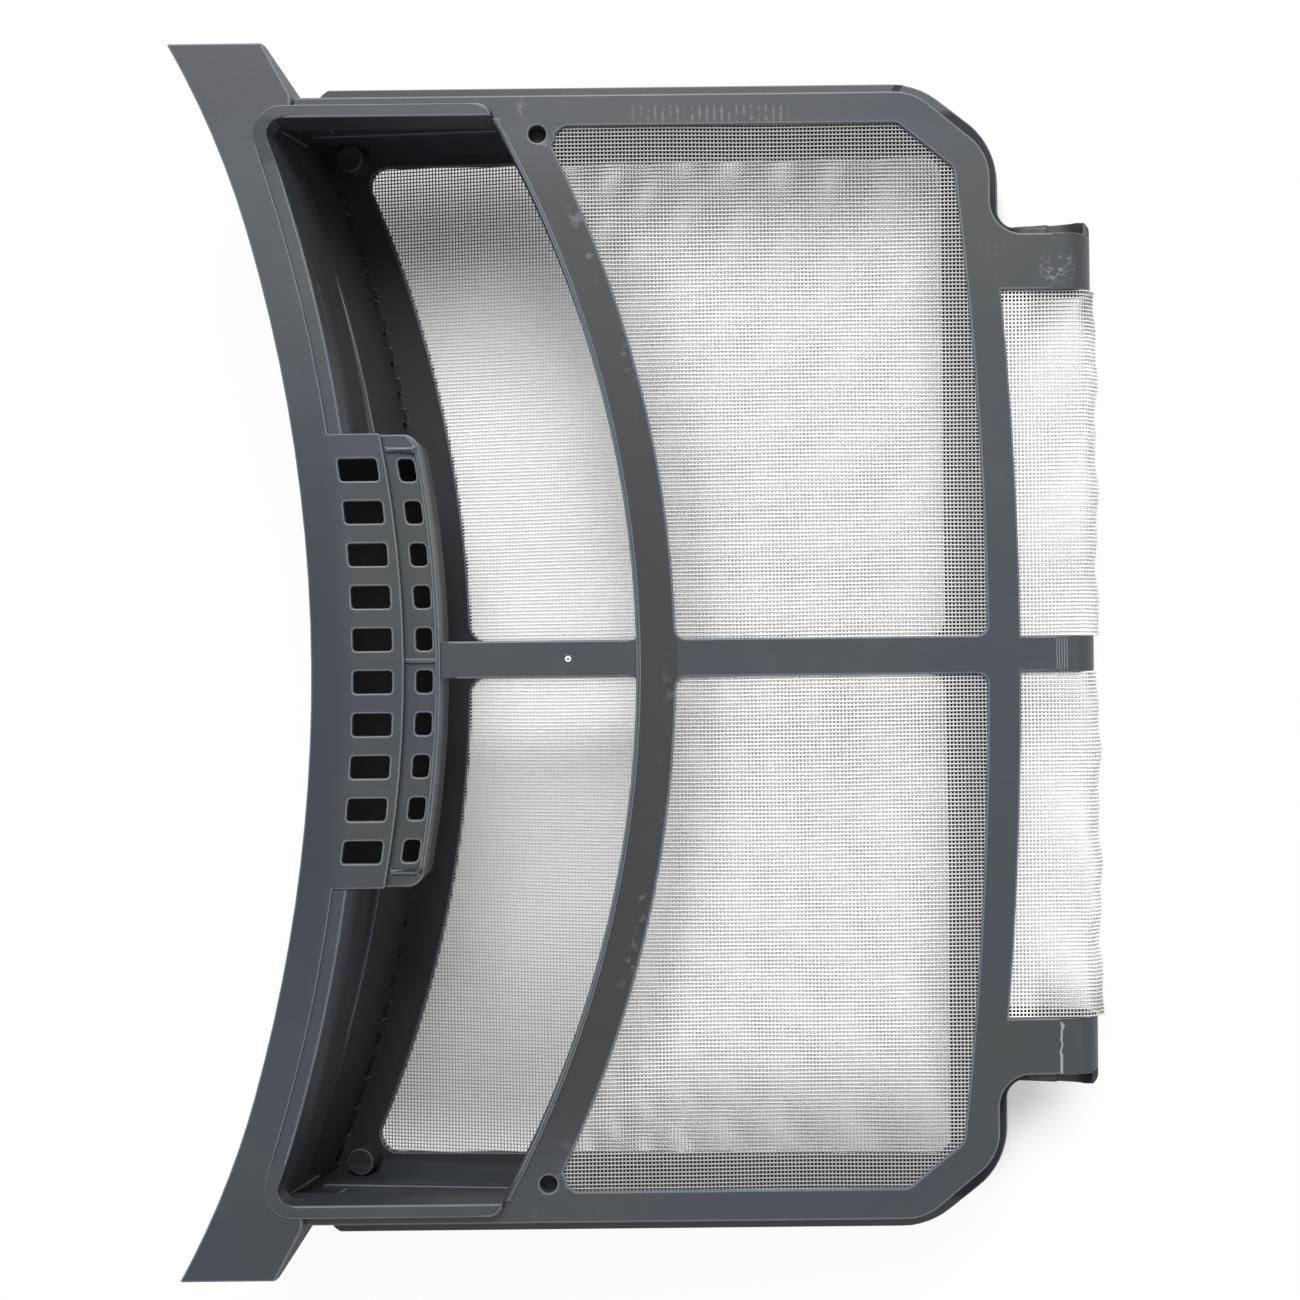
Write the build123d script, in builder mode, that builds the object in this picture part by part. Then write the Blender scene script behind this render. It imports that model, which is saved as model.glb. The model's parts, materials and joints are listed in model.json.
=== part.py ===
"""Folding lint filter of a tumble dryer: two cloth-covered plastic halves on a film hinge."""
import os
from math import asin, cos, degrees, pi, radians, sin, sqrt, tan

from build123d import *

# Film hinge and wedge, in millimetres and degrees
wedge_angle = 13.5  # between the front half and the rear half
bend_radius = 7.2  # outer face of the bent straps
crease_run = 2.6  # flat strap between a half and its bend
strap_thickness = 1.4
strap_inner = 84.0  # an outer strap lies between these two distances from the middle
strap_outer = 97.0
strap_round = 1.6  # outer corner of an outer strap, on the front half and on the rear half
rear_strap_margin = 4.3  # extra width of an outer strap on the rear half
rear_strap_round = 3.5
middle_strap_half = 4.1

# Walls shared by both halves
plate = 2.4
wall = 2.2
parting_angle = 7.5  # slope of the plane where the two halves meet
parting_gap = 0.2  # from that plane to each half

# Handle strip with a wing at each end
body_length = 167.2  # axis of the hinge bend to the outer face of the strip, at the middle
strip_radius = 372.0  # concave outer face
flare_start = 100.0  # from here to the wing tips the outer face bends more
flare_radius = 200.0
half_span = 142.0  # middle to a wing tip
strip_face = 8.0
ledge_width = 2.9
ledge_drop = 0.6
ledge_half = 114.0  # the ledge ends this far from the middle
face_lift = 2.5  # strip face above the frame plate
panel_foot = 3.0  # lower edge of the outer panel above the rest plane
wing_tip = 21.3
wing_root = 170.4  # hinge bend axis to the inner corner where a wing meets the frame
wing_flange = 9.0  # depth of a wing's inner edge at the frame
wing_draft = 9.5  # slope of that edge

# Front frame, measured from the front crease line
frame_half = 130.0
corner_start = 31.8
corner_slope = 39.3
edge_reach = 14.3
corner_radius = 12.0
tab_radius = 7.5
margin_reach = 186.0  # how far the side margins run under the strip
notch_reach = 8.3  # edge that holds the hinge cloth, at the middle
edge_arc = 950.0  # bow of the two edges beside the hinge cloth

# Inlet window and curved member
member_centre = 357.0
inlet_radius = 260.0
member_width = 9.2
inlet_half = 124.6
window_bar_half = 4.3
bead_width = 1.2
bead_height = 0.8
member_rib = 6.0
peg_hole = 4.0
peg_depth = 5.0  # blind, in a boss under the plate
peg_hole_reach = 118.5
peg_hole_half = 121.0
gate_mark = 1.6
gate_mark_reach = 112.7
gate_mark_height = 0.3

# Collar round the inlet
collar_width = 3.0
collar_lift = 3.0
collar_end = 128.4
collar_round = 2.9
collar_skirt = 9.0
inlet_corner = 3.6
inlet_draft = 7.5  # lean of the wall between strip and inlet

# Grip block with two rows of holes, and the finger pocket behind it
block_half = 52.2
block_reach = 142.0
block_radius = 275.0
block_corner = 4.0
step_width = 8.2  # lower step that carries the second row
block_depth = 20.0
lip_width = 1.3
lip_height = 0.9
hole_count = 10
hole_pitch = 9.75
hole_height = 5.1
first_row_reach = 157.4
first_row_width = 8.9
first_row_corner = 0.7
second_row_reach = 145.8
second_row_width = 3.7
second_row_corner = 0.9
first_row_radius = 340.0
step_rib = 1.1
end_rib = 48.6  # ribs on the lower step stand this far from the middle

# Cloth, as a coarse weave
cloth = 0.6
embed = 1.5
opening_half = 122.8
opening_start = 35.5
opening_reach = 16.0
crossbar_half = 4.4
opening_round = 2.5
peg_cut = 112.4  # the corner beside a peg hole is cut off from here
peg_cut_slope = 41.0
front_pitch = 17.2  # threads along and across each half
rear_pitch = 24.2
cross_pitch = 25.4
thread_columns = 6
thread_rows = 10
gap_share = 0.6
least_gap = 0.62  # smaller cut-off gaps at the border stay closed
thread_ridge = 0.25
thread_width = 1.2
hinge_cloth_reach = 13.9
cloth_bulge = 2.6  # how far the hinge cloth bows past the straps' bend
hinge_gap = 8.0
hinge_gap_pitch = 15.0
hinge_gap_count = 5

# Rear tray
tray_half_strip = 133.5  # outer side walls, at the strip end and at the hinge end
tray_half_hinge = 128.5
tray_edge = 17.3  # hinge-side wall, from the rear crease line
tray_tab = 93.7  # walls on the strap tabs, from the middle
tray_tab_radius = 10.8
rim_width = 6.0
rim_thickness = 2.0
rim_inner = 127.0
rim_reach = 174.0
rim_round = 8.0
rear_open_strip = 126.0
rear_open_hinge = 119.4
rear_open_mid = 144.4
rear_open_radius = 295.0
rear_open_reach = 25.1
rear_open_round = 4.5
post_diameter = 6.6
post_height = 7.0
post_reach = 172.6
post_half = 126.6
slot_length = 4.2  # slots through the foot of the end wall
slot_height = 3.4
slot_count = 9
slot_start = 10.3  # first and last slot, in degrees round the end wall's centre
slot_end = 23.0
end_wall_radius = 325.0  # inner face of the end wall
end_wall_set = 1.0  # its middle, back from the edge of the inlet

# Places worked out from the sizes above; X runs from the strip to the hinge, Z up from the rear half
beta = radians(wedge_angle)
gamma = radians(parting_angle)
tall = 2 * half_span  # longer than any cut needs


def sagitta(radius, y):
    return radius - sqrt(radius**2 - y**2)


cloth_inset = (plate - cloth) / 2
cloth_radius = bend_radius - cloth_inset - cloth_bulge * sin(beta / 2)
hinge_reach = cloth_bulge * cos(beta / 2) + cloth_radius
flare_shift = strip_radius - flare_radius
flare_y = flare_shift * flare_start / strip_radius
flare_depth = strip_radius - sqrt(flare_shift**2 - flare_y**2)
tip_depth = flare_depth - sqrt(flare_radius**2 - (half_span - flare_y) ** 2)
bend_x = (body_length + tip_depth - hinge_reach) / 2
strip_x = bend_x - body_length
strip_centre = strip_x - strip_radius
face_radius = strip_radius + strip_face
inlet_wall_radius = face_radius + ledge_width
front_x = bend_x + bend_radius * sin(beta) - crease_run * cos(beta)
front_z = bend_radius * (1 + cos(beta)) + crease_run * sin(beta)
rear_x = bend_x - crease_run
rear = Plane(origin=(rear_x, 0, 0))
front_along = (cos(beta), 0, -sin(beta))
front_normal = (sin(beta), 0, cos(beta))
front = Plane(origin=(front_x, 0, front_z), x_dir=front_along, z_dir=front_normal)
half_bend = bend_radius * (pi - beta) / 2
pivot_x = bend_x + half_bend
pivot_z = bend_radius - half_bend * tan(beta / 2)
parting_along = (cos(gamma), 0, -sin(gamma))
parting_normal = (sin(gamma), 0, cos(gamma))
parting = Plane(origin=(pivot_x, 0, pivot_z), x_dir=parting_along, z_dir=parting_normal)
collar_half = inlet_half + collar_width
wall_x = strip_centre + inlet_wall_radius
wall_top = front_z + (front_x - wall_x) * tan(beta)
wall_foot = pivot_z + (pivot_x - wall_x) * tan(gamma)
draft_run = (wall_top - wall_foot) * tan(radians(inlet_draft))
edge_centre = -notch_reach - edge_arc
opening_centre = -opening_reach - edge_arc


def outer_face(grow):
    """Room in front of the strip's concave outer face, moved by grow into the strip."""
    turn = degrees(asin(flare_start / strip_radius))
    with BuildSketch() as room:
        with BuildLine():
            CenterArc((strip_centre, 0), strip_radius + grow, -turn, 2 * turn)
            upper = CenterArc((strip_x - flare_depth, flare_y), flare_radius + grow, turn, turn)
            lower = CenterArc((strip_x - flare_depth, -flare_y), flare_radius + grow, -2 * turn, turn)
            end = upper @ 1
            Polyline(end, (-2 * tall, end.Y), (-2 * tall, -end.Y), lower @ 0)
        make_face()
    return room.sketch


def half_outline(left, side_left, side_right, edge, tab, tab_round):
    """Outline of one half about its crease line: sides, cut corners, hinge-side edge and strap tabs."""
    corner_y = side_right - (corner_start - edge) * tan(radians(corner_slope))
    upper = [(left, side_left), (-corner_start, side_right), (-edge, corner_y), (-edge, tab), (0, tab)]
    lower = [(x, -y) for x, y in reversed(upper)]
    rounds = [0, corner_radius, corner_radius, tab_round, 0]
    with BuildSketch() as outline:
        with BuildLine():
            FilletPolyline(*upper, *lower, radius=rounds + rounds[::-1], close=True)
        make_face()
    return outline.sketch


def hinge_notch():
    """Two gaps between the strap tabs, each with a bowed edge that holds the hinge cloth."""
    with BuildSketch() as notch:
        for side in (1, -1):
            with Locations((0, side * (strap_inner + middle_strap_half) / 2)):
                Rectangle(4 * notch_reach, strap_inner - middle_strap_half)
        with Locations((edge_centre, 0)):
            Circle(edge_arc, mode=Mode.SUBTRACT)
    return notch.sketch


def front_opening(bar_half, grow):
    """The two mesh openings of the front half, or with no bar the cloth that fills them."""
    drop = (opening_start - notch_reach) * tan(radians(corner_slope))
    cut = (peg_hole_reach - peg_cut) * tan(radians(peg_cut_slope))
    upper = [(-peg_hole_reach, opening_half - cut), (-peg_cut, opening_half)]
    upper += [(-opening_start, opening_half), (-notch_reach, opening_half - drop)]
    lower = [(x, -y) for x, y in reversed(upper)]
    with BuildSketch() as opening:
        with BuildLine():
            Polyline(*upper, *lower, close=True)
        make_face()
        with Locations((opening_centre, 0)):
            Circle(edge_arc, mode=Mode.INTERSECT)
        with Locations((-member_centre, 0)):
            Circle(inlet_radius + member_width, mode=Mode.SUBTRACT)
        if bar_half:
            Rectangle(2 * member_centre, 2 * bar_half, mode=Mode.SUBTRACT)
            offset(amount=-opening_round)
            offset(amount=opening_round)
        if grow:
            offset(amount=grow)
    return opening.sketch


def rear_opening(bar_half, grow):
    """The two mesh openings of the tray, or with no bar the cloth that fills them."""
    left = -rear_open_mid - 2 * embed - sagitta(rear_open_radius, rear_open_strip)
    upper = [(left, rear_open_strip), (-rear_open_reach, rear_open_hinge)]
    lower = [(x, -y) for x, y in reversed(upper)]
    with BuildSketch() as opening:
        with BuildLine():
            Polyline(*upper, *lower, close=True)
        make_face()
        with Locations((-rear_open_mid - rear_open_radius, 0)):
            Circle(rear_open_radius, mode=Mode.SUBTRACT)
        if bar_half:
            Rectangle(2 * body_length, 2 * bar_half, mode=Mode.SUBTRACT)
            offset(amount=-rear_open_round)
            offset(amount=rear_open_round)
        if grow:
            offset(amount=grow)
    return opening.sketch


def weave(plane, outline, panels, first, pitch):
    """A sheet with rows of gaps, ridges of one thread direction above and of the other below."""
    centre = first - thread_columns * pitch / 2
    gap_x = gap_share * pitch
    gap_y = gap_share * cross_pitch
    with BuildSketch() as gaps:
        with Locations((centre, 0)):
            with GridLocations(pitch, cross_pitch, thread_columns, thread_rows):
                Rectangle(gap_x, gap_y)
        add(offset(panels, amount=-thread_width, mode=Mode.PRIVATE), mode=Mode.INTERSECT)
    whole = [face for face in gaps.faces() if face.area > least_gap * gap_x * gap_y]
    with BuildPart() as sheet:
        with BuildSketch(plane.offset(-cloth / 2)):
            add(outline)
            add(whole, mode=Mode.SUBTRACT)
        extrude(amount=cloth)
        with BuildSketch(plane.offset(cloth / 2)):
            with Locations((centre, 0)):
                with GridLocations(pitch, 0, thread_columns + 1, 1):
                    Rectangle(thread_width, tall)
            add(panels, mode=Mode.INTERSECT)
        extrude(amount=thread_ridge)
        with BuildSketch(plane.offset(-cloth / 2)):
            with GridLocations(0, cross_pitch, 1, thread_rows + 1):
                Rectangle(2 * tall, thread_width)
            add(panels, mode=Mode.INTERSECT)
        extrude(amount=-thread_ridge)
    return sheet.part


def nose(inset, radius, back):
    """Side view of the wedge between both planes, rounded where the hinge bends."""
    reach = (front_z - inset * (1 + cos(beta))) / sin(beta)
    start = front.from_local_coords((-back, 0, -inset))
    apex = front.from_local_coords((reach, 0, -inset))
    with BuildSketch() as side:
        with BuildLine():
            FilletPolyline(
                (start.X, start.Z),
                (apex.X, inset),
                (rear_x - back, inset),
                radius=[0, radius, 0],
                close=True,
            )
        make_face()
    return side.sketch


def hinge_band(inset, thickness, radius, back, low, high):
    """A band bent round the hinge, from one half to the other, between two distances from the middle."""
    with BuildPart() as band:
        with BuildSketch(Plane.XZ.offset(-low)):
            add(nose(inset, radius, 2 * back + plate))
            add(nose(inset + thickness, radius - thickness, 2 * back + 2 * plate), mode=Mode.SUBTRACT)
        extrude(amount=low - high)
        split(bisect_by=Plane(front.from_local_coords((-back, 0, 0)), z_dir=front.x_dir), keep=Keep.TOP)
        split(bisect_by=Plane.YZ.offset(rear_x - back), keep=Keep.TOP)
    return band.part


def strap_plan(half, corner):
    """Everything on the near side of the hinge's end, with the two outer corners rounded."""
    with BuildPart() as room:
        with BuildSketch():
            with Locations((bend_x + bend_radius - tall / 2, 0)):
                RectangleRounded(tall, 2 * half, corner)
        extrude(amount=tall)
    return room.part


def grip_hole(reach, width, radius, middle, corner):
    """Outline of one grip hole: its short sides follow the row's arc, its corners are cut in two steps."""
    cut = corner * (1 - sqrt(0.5))
    points = []
    for across, along in ((1, 1), (-1, 1), (-1, -1), (1, -1)):
        bent = []
        for inset, pull in ((corner, 0), (cut, cut), (0, corner)):
            y = middle + along * (hole_height / 2 - inset)
            bent.append((across * (width / 2 - pull) - reach - sagitta(radius, y), y))
        points += bent if across == along else bent[::-1]
    with BuildSketch() as hole:
        with BuildLine():
            Polyline(*points, close=True)
        make_face()
    return hole.sketch


os.makedirs("parts", exist_ok=True)
notch = hinge_notch()
rear_tab = strap_outer + rear_strap_margin

# Cloth of each half: one sheet moulded into the middle of the frame's thickness
front_cloth_plane = front.offset(-plate / 2)
front_panels = front_opening(crossbar_half, 0)
front_sheet = front_opening(0, embed)
front_cloth = weave(front_cloth_plane, front_sheet, front_panels, -opening_reach, front_pitch)
rear_cloth_plane = rear.offset(plate / 2)
rear_panels = rear_opening(crossbar_half, 0)
rear_sheet = rear_opening(0, embed)
rear_cloth = weave(rear_cloth_plane, rear_sheet, rear_panels, -rear_open_reach, rear_pitch)

# Hinge cloth and straps of the upper side; the lower ones mirror them
with BuildPart() as hinge_cloth:
    add(hinge_band(cloth_inset, cloth, cloth_radius, hinge_cloth_reach, middle_strap_half, strap_inner))
    with BuildSketch(Plane.XY):
        with Locations((bend_x, (middle_strap_half + strap_inner) / 2)):
            with GridLocations(0, hinge_gap_pitch, 1, hinge_gap_count):
                Rectangle(hinge_gap, hinge_gap)
    extrude(amount=tall, mode=Mode.SUBTRACT)
half_way = Plane((bend_x, 0, bend_radius), z_dir=(sin(beta / 2), 0, cos(beta / 2)))
with BuildPart() as rear_strap:
    add(hinge_band(0, strap_thickness, bend_radius, 0, strap_inner, rear_tab))
    split(bisect_by=half_way, keep=Keep.BOTTOM)
    add(strap_plan(rear_tab, rear_strap_round), mode=Mode.INTERSECT)
with BuildPart() as hinge_strap:
    add(hinge_band(0, strap_thickness, bend_radius, 0, strap_inner, strap_outer))
    split(bisect_by=half_way, keep=Keep.TOP)
    add(strap_plan(strap_outer, strap_round), mode=Mode.INTERSECT)
    add(rear_strap.part)
middle_strap = hinge_band(0, strap_thickness, bend_radius, 0, -middle_strap_half, middle_strap_half)

# Hollow of the wings: their underside rises from the frame to a thin tip
wing_side = Plane(origin=front.origin, x_dir=(0, 1, 0), z_dir=front.x_dir)
with BuildPart() as wing_hollow:
    with BuildSketch(wing_side.offset(-tall)):
        for side in (1, -1):
            with BuildLine():
                Polyline(
                    (side * frame_half, face_lift - wing_flange),
                    (side * half_span, face_lift - plate),
                    (side * tall, face_lift - plate),
                    (side * tall, -tall),
                    (side * frame_half, -tall),
                    close=True,
                )
            make_face()
    extrude(amount=2 * tall)

# Finger pocket, open through the outer panel and closed towards the inlet
with BuildPart() as pocket:
    with BuildSketch(front.offset(-block_depth + wall)):
        with Locations((-block_reach - wall - block_radius, 0)):
            Circle(block_radius)
        Rectangle(2 * tall, 2 * (block_half - wall), mode=Mode.INTERSECT)
    extrude(amount=block_depth - wall - plate)
    with BuildSketch(front.offset(-plate)):
        with Locations((-block_reach - step_width - wall - block_radius, 0)):
            Circle(block_radius)
        Rectangle(2 * tall, 2 * (block_half - wall), mode=Mode.INTERSECT)
    extrude(amount=face_lift)

# Strip seen from above: two wings and the wall beside the inlet
with BuildSketch() as strip_plan:
    with BuildLine():
        tip_x = strip_x - tip_depth
        root_x = bend_x - wing_root
        inlet_x = strip_centre + sqrt(inlet_wall_radius**2 - collar_half**2)
        Line((tip_x, -half_span), (tip_x, half_span))
        upper = [(tip_x, half_span), (tip_x + wing_tip, half_span), (root_x, frame_half)]
        upper += [(root_x, collar_half), (inlet_x, collar_half)]
        Polyline(*upper)
        ThreePointArc((inlet_x, collar_half), (wall_x, 0), (inlet_x, -collar_half))
        Polyline(*[(x, -y) for x, y in upper])
    make_face()

# Sloped inner edge of the upper wing; the lower one mirrors it
wing_ends = [Vector(root_x, frame_half), Vector(tip_x + wing_tip, half_span)]
wing_lifts = [front_z + (front_x - end.X) * tan(beta) + face_lift / cos(beta) for end in wing_ends]
root_top, tip_top = [end + Vector(0, 0, lift) for end, lift in zip(wing_ends, wing_lifts)]
outward = (tip_top - root_top).cross(Vector(*front_normal)).normalized()
draft = radians(wing_draft)
wing_slope = Plane(root_top, z_dir=outward * cos(draft) + Vector(*front_normal) * sin(draft))
with BuildPart() as wing_edge:
    with BuildSketch():
        with BuildLine():
            Polyline(
                (root_x, frame_half),
                (tip_x + wing_tip, half_span),
                (tip_x + wing_tip + wing_flange, half_span),
                (root_x + wing_flange, frame_half),
                close=True,
            )
        make_face()
    extrude(amount=tall)
    split(bisect_by=wing_slope, keep=Keep.BOTTOM)

# Hollow inside the strip and its wings, open downwards
with BuildPart() as strip_hollow:
    with BuildSketch():
        with Locations((strip_centre, 0)):
            Circle(inlet_wall_radius - wall - draft_run)
        with Locations((strip_x, 0)):
            Rectangle(4 * wing_tip, 2 * (half_span - wall), mode=Mode.INTERSECT)
        for side in (1, -1):
            with BuildLine():
                Polyline(
                    (tip_x, side * (half_span - wall)),
                    (tip_x + wing_tip - 2 * wall, side * (half_span - wall)),
                    (root_x - 2 * wall, side * frame_half),
                    (tip_x, side * frame_half),
                    close=True,
                )
            make_face()
        add(outer_face(plate), mode=Mode.SUBTRACT)
    extrude(amount=tall)
    split(bisect_by=front.offset(face_lift - plate), keep=Keep.BOTTOM)

# Room that the wall beside the inlet leaves as it leans under the strip
with BuildPart() as inlet_room:
    with BuildSketch(Plane.XY.offset(wall_foot)):
        wall_sweep = sagitta(inlet_wall_radius, inlet_half)
        with Locations((wall_x - wall_sweep, 0)):
            Rectangle(2 * wall_sweep, 2 * inlet_half)
    extrude(amount=wall_top - wall_foot)
    with Locations((strip_centre, 0, (wall_foot + wall_top) / 2)):
        Cone(inlet_wall_radius - draft_run, inlet_wall_radius, wall_top - wall_foot, mode=Mode.SUBTRACT)

# Outer panel of the strip, down to just above the rest plane
with BuildPart() as outer_panel:
    with BuildSketch(Plane.XY.offset(panel_foot)):
        add(outer_face(plate))
        with Locations((strip_x, 0)):
            Rectangle(4 * wing_tip, 2 * half_span, mode=Mode.INTERSECT)
    extrude(amount=tall)
    split(bisect_by=front.offset(face_lift), keep=Keep.BOTTOM)

# Ring round the inlet: a low ledge along the strip that rises at its ends to a collar
with BuildSketch() as inlet_plan:
    Rectangle(tall, 2 * inlet_half)
    with Locations((strip_centre, 0)):
        Circle(inlet_wall_radius, mode=Mode.SUBTRACT)
    offset(amount=-inlet_corner)
    offset(amount=inlet_corner)
collar_end_x = front.from_local_coords((-collar_end, 0, 0)).X
with BuildSketch() as ring_plan:
    add(inlet_plan.sketch)
    offset(amount=collar_width)
    add(inlet_plan.sketch, mode=Mode.SUBTRACT)
    with Locations((collar_end_x - tall / 2, 0)):
        RectangleRounded(tall, 2 * collar_half, collar_round, mode=Mode.INTERSECT)
with BuildPart() as ring_room:
    with BuildSketch():
        add(ring_plan.sketch)
    extrude(amount=tall)
    split(bisect_by=front, keep=Keep.TOP)
with BuildPart() as ring:
    with BuildSketch():
        add(ring_plan.sketch)
    extrude(amount=tall)
    with BuildSketch(wing_side.offset(-tall)):
        with BuildLine():
            level = [(tall, -plate), (tall, collar_lift), (inlet_half, collar_lift)]
            level += [(ledge_half, face_lift - ledge_drop)]
            Polyline(*level, *[(-y, z) for y, z in reversed(level)], close=True)
        make_face()
    extrude(amount=2 * tall, mode=Mode.INTERSECT)

# Front half: frame, inlet with its collar, handle strip and grip block
front_plan = half_outline(-margin_reach, frame_half, frame_half, edge_reach, strap_outer, tab_radius)
inlet_reach = member_centre - inlet_radius
root_reach = (front_x - root_x) / cos(beta)
grip_rows = [
    (face_lift, first_row_reach, first_row_width, first_row_radius, first_row_corner),
    (0, second_row_reach, second_row_width, block_radius, second_row_corner),
]
with BuildPart() as front_frame:
    with BuildSketch(front):
        add(front_plan)
        add(notch, mode=Mode.SUBTRACT)
        add(front_panels, mode=Mode.SUBTRACT)
    extrude(amount=-plate)
    with BuildSketch(front):
        with Locations((-member_centre, 0)):
            Circle(inlet_radius)
        Rectangle(2 * member_centre, 2 * inlet_half, mode=Mode.INTERSECT)
    extrude(amount=-plate, mode=Mode.SUBTRACT)
    # Side skirts down to the plane where the halves meet
    with BuildSketch(front.offset(-plate)):
        add(front_plan)
        add(offset(front_plan, amount=-wall, mode=Mode.PRIVATE), mode=Mode.SUBTRACT)
        with Locations((-margin_reach, 0)):
            Rectangle(margin_reach, 2 * (frame_half - wall), mode=Mode.SUBTRACT)
        Rectangle(4 * corner_start, 2 * (strap_outer - wall), mode=Mode.SUBTRACT)
    extrude(amount=-tall / 2)
    # Strip with its wings, hollow from below
    with BuildSketch():
        add(strip_plan.sketch)
    extrude(amount=tall)
    add(wing_edge.part)
    add(mirror(wing_edge.part, about=Plane.XZ, mode=Mode.PRIVATE))
    split(bisect_by=front.offset(face_lift), keep=Keep.BOTTOM)
    split(bisect_by=parting.offset(parting_gap), keep=Keep.TOP)
    add(inlet_room.part, mode=Mode.SUBTRACT)
    add(strip_hollow.part, mode=Mode.SUBTRACT)
    add(wing_hollow.part, mode=Mode.SUBTRACT)
    add(outer_panel.part)
    # Face of the strip beside the collar's round corner
    with BuildSketch(front):
        for side in (1, -1):
            with Locations((-(margin_reach + root_reach) / 2, side * (inlet_half + collar_half) / 2)):
                Rectangle(margin_reach - root_reach, collar_width)
    extrude(amount=face_lift)
    add(ring_room.part, mode=Mode.SUBTRACT)
    add(ring.part)
    # Skirt under the collar beside the inlet
    with BuildSketch(front.offset(-collar_skirt)):
        for side in (1, -1):
            with Locations((-(margin_reach + collar_end) / 2, side * (inlet_half + wall / 2))):
                Rectangle(margin_reach - collar_end, wall)
    extrude(amount=collar_skirt)
    # Bead and rib along the inlet edge of the curved member, and the bar across the inlet
    with BuildSketch(front) as bead:
        with Locations((-member_centre, 0)):
            Circle(inlet_radius + bead_width)
            Circle(inlet_radius, mode=Mode.SUBTRACT)
        with Locations((-inlet_reach, 0)):
            Rectangle(inlet_reach, 2 * inlet_half, mode=Mode.INTERSECT)
    extrude(amount=bead_height)
    with BuildSketch(front.offset(-plate)):
        add(bead.sketch_local)
    extrude(amount=-member_rib)
    with BuildSketch(front):
        with Locations((-(block_reach + inlet_reach) / 2, 0)):
            Rectangle(block_reach - inlet_reach + 2 * bead_width, 2 * window_bar_half)
    extrude(amount=-plate)
    # Grip block: a step down towards the inlet, a lip on its edge and ribs across the step
    with BuildSketch(front.offset(-block_depth)) as block:
        with Locations((-block_reach - block_radius, 0)):
            Circle(block_radius)
        with Locations((-margin_reach, 0)):
            Rectangle(margin_reach, 2 * block_half, mode=Mode.INTERSECT)
        fillet(block.vertices().group_by(Axis.X)[-1], block_corner)
    extrude(amount=block_depth)
    with BuildSketch(front):
        with Locations((-block_reach - step_width - block_radius, 0)):
            Circle(block_radius)
        with Locations((-margin_reach, 0)):
            Rectangle(margin_reach, 2 * block_half, mode=Mode.INTERSECT)
    extrude(amount=face_lift)
    with BuildSketch(front):
        with Locations((-block_reach - block_radius, 0)):
            Circle(block_radius)
            Circle(block_radius - lip_width, mode=Mode.SUBTRACT)
        with Locations((-block_reach, 0)):
            Rectangle(2 * step_width, 2 * (block_half - block_corner), mode=Mode.INTERSECT)
    extrude(amount=lip_height)
    with BuildSketch(front):
        with Locations((-block_reach - step_width / 2, 0)):
            with GridLocations(0, end_rib, 1, 3):
                Rectangle(2 * step_width, step_rib)
        with Locations((-block_reach - block_radius, 0)):
            Circle(block_radius - lip_width, mode=Mode.INTERSECT)
    extrude(amount=lip_height)
    add(pocket.part, mode=Mode.SUBTRACT)
    # Two rows of grip holes, each row along its own arc
    for level, reach, width, radius, corner in grip_rows:
        with BuildSketch(front.offset(level)):
            for number in range(hole_count):
                middle = hole_pitch * (number - (hole_count - 1) / 2)
                add(grip_hole(reach, width, radius, middle, corner))
        extrude(amount=-plate, mode=Mode.SUBTRACT)
    # Concave outer face, cut through everything that meets it
    with BuildSketch():
        add(outer_face(0))
    extrude(amount=tall, mode=Mode.SUBTRACT)
    # Gate mark on the bar across the inlet, and peg holes beside the inlet
    with BuildSketch(front):
        with Locations((-gate_mark_reach, 0)):
            Circle(gate_mark / 2)
    extrude(amount=gate_mark_height)
    peg_spots = [(-peg_hole_reach, peg_hole_half), (-peg_hole_reach, -peg_hole_half)]
    with BuildSketch(front):
        with Locations(*peg_spots):
            Circle(peg_hole / 2 + wall)
    extrude(amount=-peg_depth - wall)
    with BuildSketch(front):
        with Locations(*peg_spots):
            Circle(peg_hole / 2)
    extrude(amount=-peg_depth, mode=Mode.SUBTRACT)
    add(front_cloth, mode=Mode.SUBTRACT)
    add(hinge_cloth.part, mode=Mode.SUBTRACT)
    add(mirror(hinge_cloth.part, about=Plane.XZ, mode=Mode.PRIVATE), mode=Mode.SUBTRACT)

# Rear half seen from above, and the flange where the front half meets it
tray_left = -margin_reach - wing_tip
tray_plan = half_outline(tray_left, tray_half_strip, tray_half_hinge, tray_edge, tray_tab, tray_tab_radius)
tray_inside = offset(tray_plan, amount=-wall)
end_wall_x = wall_x - end_wall_set - end_wall_radius - rear_x
with BuildSketch() as rim_hole:
    add(tray_inside)
    Rectangle(2 * tall, 2 * rim_inner, mode=Mode.INTERSECT)
with BuildSketch() as rim_plan:
    add(tray_plan)
    offset(amount=rim_width)
    with Locations((-rim_reach + tall / 2, 0)):
        RectangleRounded(tall, 2 * (tray_half_strip + rim_width), rim_round, mode=Mode.INTERSECT)
    add(rim_hole.sketch, mode=Mode.SUBTRACT)
    Rectangle(4 * corner_start, 2 * (tray_tab - wall), mode=Mode.SUBTRACT)
    with Locations((-tall / 2, 0)):
        Rectangle(tall, tall, mode=Mode.INTERSECT)
with BuildPart() as rim:
    with BuildSketch(rear):
        add(rim_plan.sketch)
    extrude(amount=tall)
    split(bisect_by=parting.offset(-parting_gap), keep=Keep.BOTTOM)
    split(bisect_by=parting.offset(-parting_gap - rim_thickness), keep=Keep.TOP)

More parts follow.
